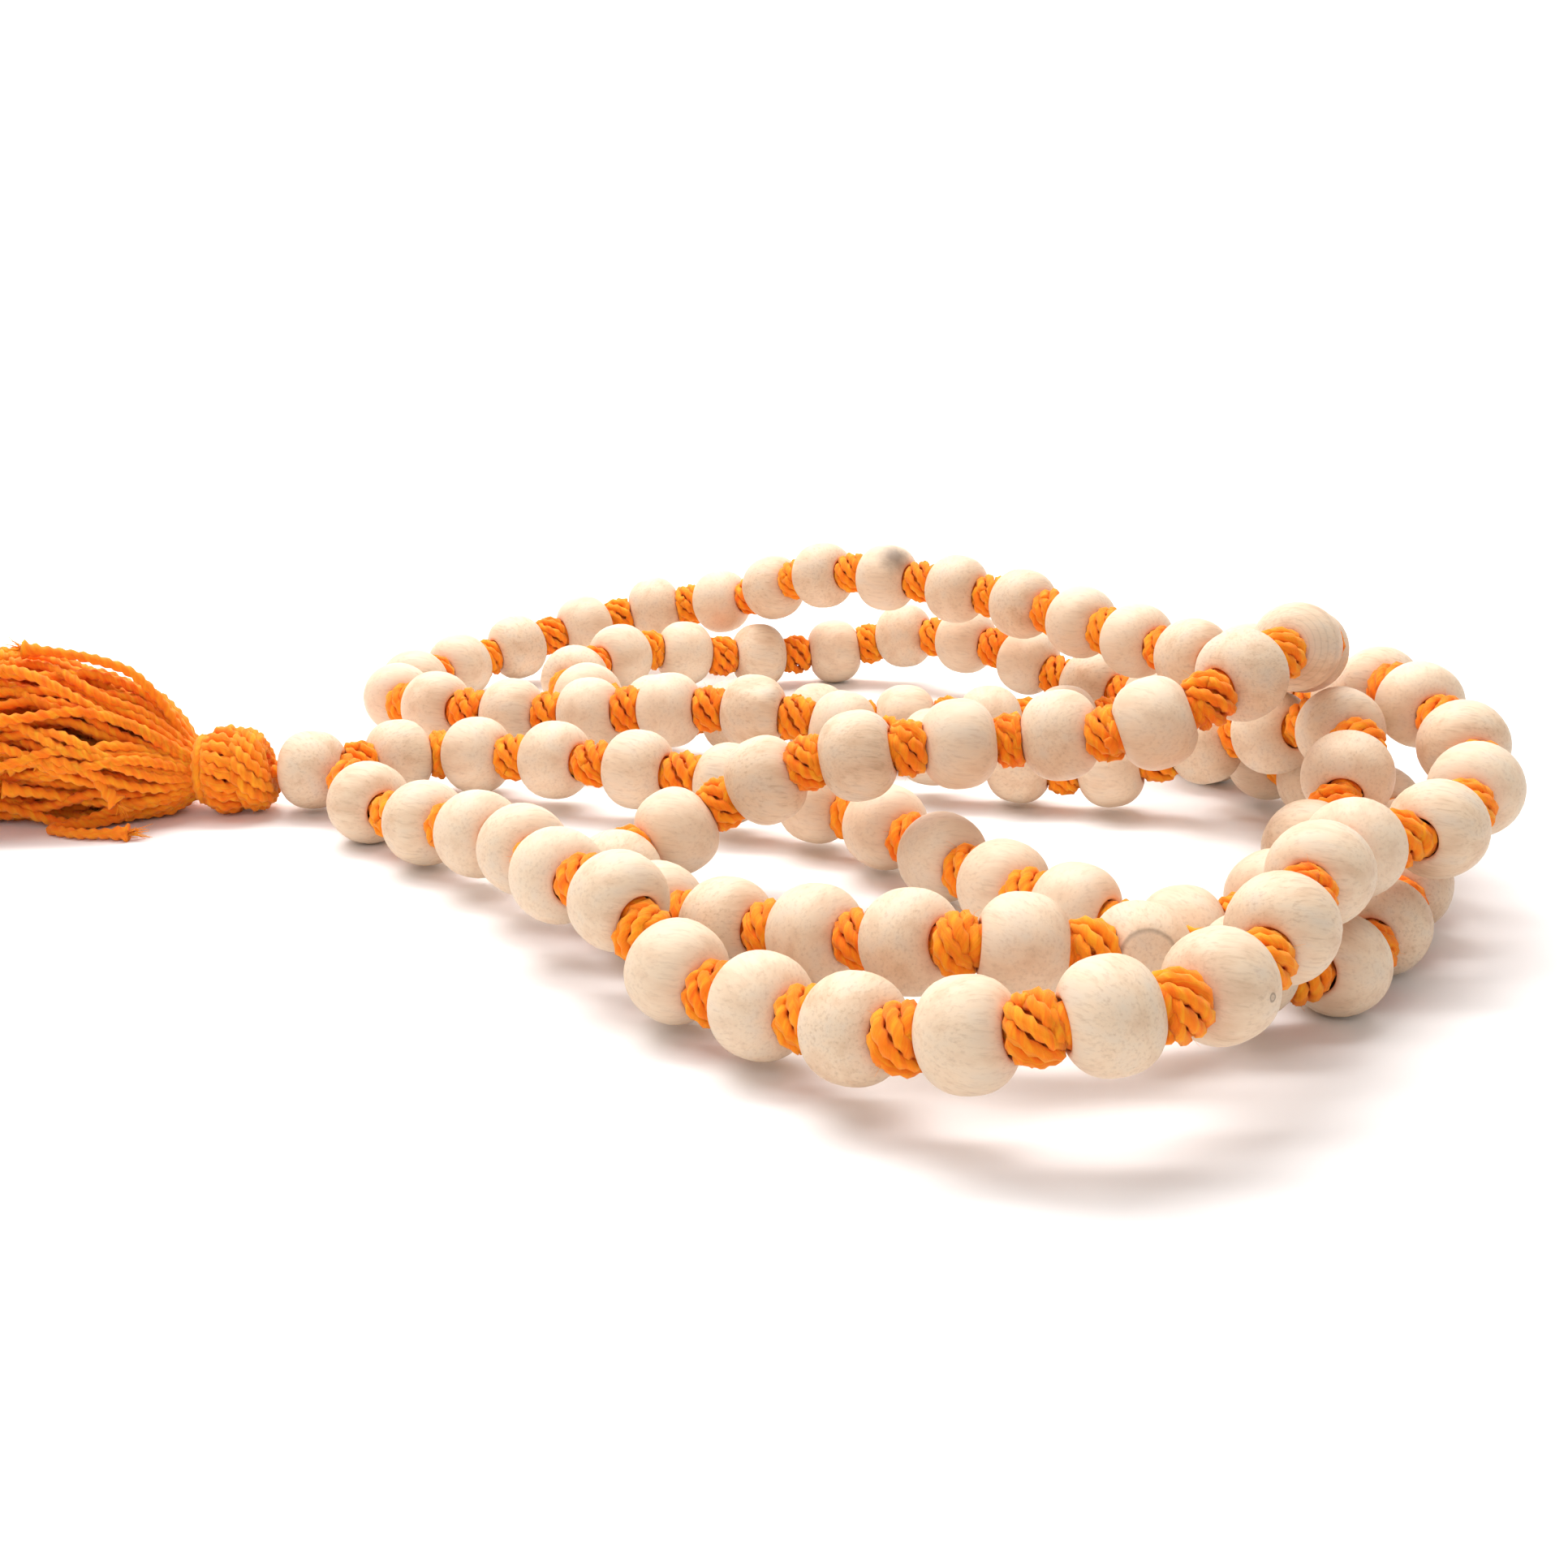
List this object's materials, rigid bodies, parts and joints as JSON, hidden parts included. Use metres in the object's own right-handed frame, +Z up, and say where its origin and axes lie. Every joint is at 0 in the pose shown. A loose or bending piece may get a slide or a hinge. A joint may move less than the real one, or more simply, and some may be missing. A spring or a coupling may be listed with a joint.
{
  "type": "mala prayer beads",
  "caption": "Loop of pale round wooden prayer beads with a yarn knot between each two, lying in a loose pile, with a guru bead and a yarn tassel.",
  "frame": {"origin": "centre of the part's box, on the surface that it lies on", "axes": "+Z up; the tassel points to -X; the loop is spread to +X; -Y is the side that faces the viewer"},
  "size_m": [0.1962, 0.179, 0.032],
  "materials": {
    "bead_wood": "bare turned wood, pale, fine grain",
    "string_yarn": "soft plied yarn, orange",
    "tassel_yarn": "soft fuzzy yarn, orange"
  },
  "bodies": {
    "string": {"beads_23_to_30": "bead_wood", "beads_31_to_38": "bead_wood", "beads_39_to_46": "bead_wood", "beads_47_to_54": "bead_wood", "beads_55_to_62": "bead_wood", "beads_63_to_70": "bead_wood", "beads_71_to_78": "bead_wood", "beads_79_to_86": "bead_wood", "stringing_cord": "string_yarn", "knots": "string_yarn", "tassel_neck_cord": "string_yarn"},
    "tassel_head": {"tassel_head_knot": "tassel_yarn", "tassel_binding": "tassel_yarn"},
    "tassel_skirt": {"tassel_skirt": "tassel_yarn"},
    "guru_bead": {"guru_bead": "bead_wood"},
    "bead_1": {"bead_1": "bead_wood"},
    "bead_2": {"bead_2": "bead_wood"},
    "bead_3": {"bead_3": "bead_wood"},
    "bead_4": {"bead_4": "bead_wood"},
    "bead_5": {"bead_5": "bead_wood"},
    "bead_6": {"bead_6": "bead_wood"},
    "bead_7": {"bead_7": "bead_wood"},
    "bead_8": {"bead_8": "bead_wood"},
    "bead_9": {"bead_9": "bead_wood"},
    "bead_10": {"bead_10": "bead_wood"},
    "bead_11": {"bead_11": "bead_wood"},
    "bead_12": {"bead_12": "bead_wood"},
    "bead_13": {"bead_13": "bead_wood"},
    "bead_14": {"bead_14": "bead_wood"},
    "bead_15": {"bead_15": "bead_wood"},
    "bead_16": {"bead_16": "bead_wood"},
    "bead_17": {"bead_17": "bead_wood"},
    "bead_18": {"bead_18": "bead_wood"},
    "bead_19": {"bead_19": "bead_wood"},
    "bead_20": {"bead_20": "bead_wood"},
    "bead_21": {"bead_21": "bead_wood"},
    "bead_22": {"bead_22": "bead_wood"},
    "bead_87": {"bead_87": "bead_wood"},
    "bead_88": {"bead_88": "bead_wood"},
    "bead_89": {"bead_89": "bead_wood"},
    "bead_90": {"bead_90": "bead_wood"},
    "bead_91": {"bead_91": "bead_wood"},
    "bead_92": {"bead_92": "bead_wood"},
    "bead_93": {"bead_93": "bead_wood"},
    "bead_94": {"bead_94": "bead_wood"},
    "bead_95": {"bead_95": "bead_wood"},
    "bead_96": {"bead_96": "bead_wood"},
    "bead_97": {"bead_97": "bead_wood"},
    "bead_98": {"bead_98": "bead_wood"},
    "bead_99": {"bead_99": "bead_wood"},
    "bead_100": {"bead_100": "bead_wood"},
    "bead_101": {"bead_101": "bead_wood"},
    "bead_102": {"bead_102": "bead_wood"},
    "bead_103": {"bead_103": "bead_wood"},
    "bead_104": {"bead_104": "bead_wood"},
    "bead_105": {"bead_105": "bead_wood"},
    "bead_106": {"bead_106": "bead_wood"},
    "bead_107": {"bead_107": "bead_wood"},
    "bead_108": {"bead_108": "bead_wood"}
  },
  "joints": [
    {"name": "tassel_swing", "type": "hinge", "parent": "string", "child": "tassel_head", "pos_m": [-0.0407, 0.0085, 0.0055], "axis": [0, 0, 1], "range_deg": [-45, 45]},
    {"name": "skirt_lift", "type": "hinge", "parent": "tassel_head", "child": "tassel_skirt", "pos_m": [-0.06095, 0.0085, 0.0055], "axis": [0, 1, 0], "range_deg": [0, 60]},
    {"name": "guru_spin", "type": "hinge", "parent": "string", "child": "guru_bead", "pos_m": [-0.0407, 0.0085, 0.0055], "axis": [1, 0, 0], "continuous": true},
    {"name": "bead_1_spin", "type": "hinge", "parent": "string", "child": "bead_1", "pos_m": [-0.0312, 0.0155, 0.005], "axis": [0.9171, 0.3981, -0.0195], "continuous": true},
    {"name": "bead_2_spin", "type": "hinge", "parent": "string", "child": "bead_2", "pos_m": [-0.02097, 0.0153, 0.00543], "axis": [0.9383, -0.3364, 0.0797], "continuous": true},
    {"name": "bead_3_spin", "type": "hinge", "parent": "string", "child": "bead_3", "pos_m": [-0.01015, 0.0096, 0.00645], "axis": [0.8491, -0.523, 0.0743], "continuous": true},
    {"name": "bead_4_spin", "type": "hinge", "parent": "string", "child": "bead_4", "pos_m": [0.0008, 0.0035, 0.007], "axis": [0.9209, -0.3898, -0.0028], "continuous": true},
    {"name": "bead_5_spin", "type": "hinge", "parent": "string", "child": "bead_5", "pos_m": [0.01223, -0.00093, 0.00657], "axis": [0.9262, -0.3732, -0.0537], "continuous": true},
    {"name": "bead_6_spin", "type": "hinge", "parent": "string", "child": "bead_6", "pos_m": [0.0228, -0.0065, 0.006], "axis": [0.799, -0.6007, -0.0262], "continuous": true},
    {"name": "bead_7_spin", "type": "hinge", "parent": "string", "child": "bead_7", "pos_m": [0.03043, -0.01487, 0.0057], "axis": [0.5562, -0.8307, -0.0217], "continuous": true},
    {"name": "bead_8_spin", "type": "hinge", "parent": "string", "child": "bead_8", "pos_m": [0.0362, -0.0251, 0.0056], "axis": [0.4539, -0.891, 0.0084], "continuous": true},
    {"name": "bead_9_spin", "type": "hinge", "parent": "string", "child": "bead_9", "pos_m": [0.0418, -0.0355, 0.006], "axis": [0.5218, -0.8506, 0.0643], "continuous": true},
    {"name": "bead_10_spin", "type": "hinge", "parent": "string", "child": "bead_10", "pos_m": [0.0478, -0.0455, 0.007], "axis": [0.7526, -0.6585, 0], "continuous": true},
    {"name": "bead_11_spin", "type": "hinge", "parent": "string", "child": "bead_11", "pos_m": [0.0578, -0.0495, 0.006], "axis": [0.9975, 0.0499, 0.0499], "continuous": true},
    {"name": "bead_12_spin", "type": "hinge", "parent": "string", "child": "bead_12", "pos_m": [0.0678, -0.0445, 0.008], "axis": [0.7177, 0.6728, 0.1794], "continuous": true},
    {"name": "bead_13_spin", "type": "hinge", "parent": "string", "child": "bead_13", "pos_m": [0.0738, -0.0345, 0.01], "axis": [0.5098, 0.8072, 0.2974], "continuous": true},
    {"name": "bead_14_spin", "type": "hinge", "parent": "string", "child": "bead_14", "pos_m": [0.0798, -0.0255, 0.015], "axis": [0.3532, 0.883, 0.3091], "continuous": true},
    {"name": "bead_15_spin", "type": "hinge", "parent": "string", "child": "bead_15", "pos_m": [0.0818, -0.0145, 0.017], "axis": [-0.1413, 0.9889, -0.0471], "continuous": true},
    {"name": "bead_16_spin", "type": "hinge", "parent": "string", "child": "bead_16", "pos_m": [0.0768, -0.0045, 0.014], "axis": [-0.4774, 0.8245, -0.3038], "continuous": true},
    {"name": "bead_17_spin", "type": "hinge", "parent": "string", "child": "bead_17", "pos_m": [0.0708, 0.0045, 0.01], "axis": [-0.7626, 0.5383, -0.3588], "continuous": true},
    {"name": "bead_18_spin", "type": "hinge", "parent": "string", "child": "bead_18", "pos_m": [0.0598, 0.0075, 0.006], "axis": [-0.9424, 0.257, -0.2142], "continuous": true},
    {"name": "bead_19_spin", "type": "hinge", "parent": "string", "child": "bead_19", "pos_m": [0.04886, 0.0105, 0.00562], "axis": [-0.9597, 0.2632, 0.0987], "continuous": true},
    {"name": "bead_20_spin", "type": "hinge", "parent": "string", "child": "bead_20", "pos_m": [0.0378, 0.0135, 0.007], "axis": [-0.9627, 0.2567, 0.0856], "continuous": true},
    {"name": "bead_21_spin", "type": "hinge", "parent": "string", "child": "bead_21", "pos_m": [0.02631, 0.01647, 0.00863], "axis": [-0.9572, 0.2445, 0.1546], "continuous": true},
    {"name": "bead_22_spin", "type": "hinge", "parent": "string", "child": "bead_22", "pos_m": [0.0148, 0.0195, 0.01], "axis": [-0.9628, 0.267, 0.0426], "continuous": true},
    {"name": "bead_87_spin", "type": "hinge", "parent": "string", "child": "bead_87", "pos_m": [0.0848, 0.0225, 0.011], "axis": [0.5161, -0.823, 0.2371], "continuous": true},
    {"name": "bead_88_spin", "type": "hinge", "parent": "string", "child": "bead_88", "pos_m": [0.0908, 0.0125, 0.014], "axis": [0.2616, -0.9156, 0.3052], "continuous": true},
    {"name": "bead_89_spin", "type": "hinge", "parent": "string", "child": "bead_89", "pos_m": [0.0908, 0.0015, 0.018], "axis": [0, -0.9693, 0.2459], "continuous": true},
    {"name": "bead_90_spin", "type": "hinge", "parent": "string", "child": "bead_90", "pos_m": [0.09197, -0.01022, 0.01894], "axis": [0.1432, -0.9885, -0.0477], "continuous": true},
    {"name": "bead_91_spin", "type": "hinge", "parent": "string", "child": "bead_91", "pos_m": [0.09313, -0.02228, 0.01756], "axis": [0, -0.9882, -0.1531], "continuous": true},
    {"name": "bead_92_spin", "type": "hinge", "parent": "string", "child": "bead_92", "pos_m": [0.0908, -0.0335, 0.016], "axis": [-0.4487, -0.8902, -0.0783], "continuous": true},
    {"name": "bead_93_spin", "type": "hinge", "parent": "string", "child": "bead_93", "pos_m": [0.0838, -0.0435, 0.015], "axis": [-0.7275, -0.6847, -0.0428], "continuous": true},
    {"name": "bead_94_spin", "type": "hinge", "parent": "string", "child": "bead_94", "pos_m": [0.0738, -0.0495, 0.015], "axis": [-0.7064, -0.7064, 0.0442], "continuous": true},
    {"name": "bead_95_spin", "type": "hinge", "parent": "string", "child": "bead_95", "pos_m": [0.0678, -0.0595, 0.016], "axis": [-0.5312, -0.8471, 0.0144], "continuous": true},
    {"name": "bead_96_spin", "type": "hinge", "parent": "string", "child": "bead_96", "pos_m": [0.06197, -0.06967, 0.01467], "axis": [-0.5058, -0.8431, -0.1827], "continuous": true},
    {"name": "bead_97_spin", "type": "hinge", "parent": "string", "child": "bead_97", "pos_m": [0.0548, -0.0785, 0.013], "axis": [-0.7758, -0.6294, -0.0439], "continuous": true},
    {"name": "bead_98_spin", "type": "hinge", "parent": "string", "child": "bead_98", "pos_m": [0.0448, -0.0845, 0.013], "axis": [-0.9802, -0.14, -0.14], "continuous": true},
    {"name": "bead_99_spin", "type": "hinge", "parent": "string", "child": "bead_99", "pos_m": [0.0338, -0.0815, 0.01], "axis": [-0.8892, 0.3936, -0.2332], "continuous": true},
    {"name": "bead_100_spin", "type": "hinge", "parent": "string", "child": "bead_100", "pos_m": [0.0248, -0.07483, 0.0075], "axis": [-0.695, 0.695, -0.1844], "continuous": true},
    {"name": "bead_101_spin", "type": "hinge", "parent": "string", "child": "bead_101", "pos_m": [0.0168, -0.0665, 0.006], "axis": [-0.7204, 0.691, -0.0588], "continuous": true},
    {"name": "bead_102_spin", "type": "hinge", "parent": "string", "child": "bead_102", "pos_m": [0.0088, -0.0585, 0.006], "axis": [-0.6472, 0.7396, 0.1849], "continuous": true},
    {"name": "bead_103_spin", "type": "hinge", "parent": "string", "child": "bead_103", "pos_m": [0.0028, -0.0505, 0.01], "axis": [-0.5802, 0.8034, 0.1339], "continuous": true},
    {"name": "bead_104_spin", "type": "hinge", "parent": "string", "child": "bead_104", "pos_m": [-0.0042, -0.0405, 0.009], "axis": [-0.4945, 0.8653, -0.0824], "continuous": true},
    {"name": "bead_105_spin", "type": "hinge", "parent": "string", "child": "bead_105", "pos_m": [-0.0092, -0.0295, 0.008], "axis": [-0.4707, 0.8782, -0.0843], "continuous": true},
    {"name": "bead_106_spin", "type": "hinge", "parent": "string", "child": "bead_106", "pos_m": [-0.01539, -0.02061, 0.00675], "axis": [-0.6494, 0.749, -0.1315], "continuous": true},
    {"name": "bead_107_spin", "type": "hinge", "parent": "string", "child": "bead_107", "pos_m": [-0.02276, -0.01289, 0.0055], "axis": [-0.697, 0.7117, -0.088], "continuous": true},
    {"name": "bead_108_spin", "type": "hinge", "parent": "string", "child": "bead_108", "pos_m": [-0.0312, -0.0035, 0.005], "axis": [-0.6257, 0.78, 0.0087], "continuous": true}
  ]
}
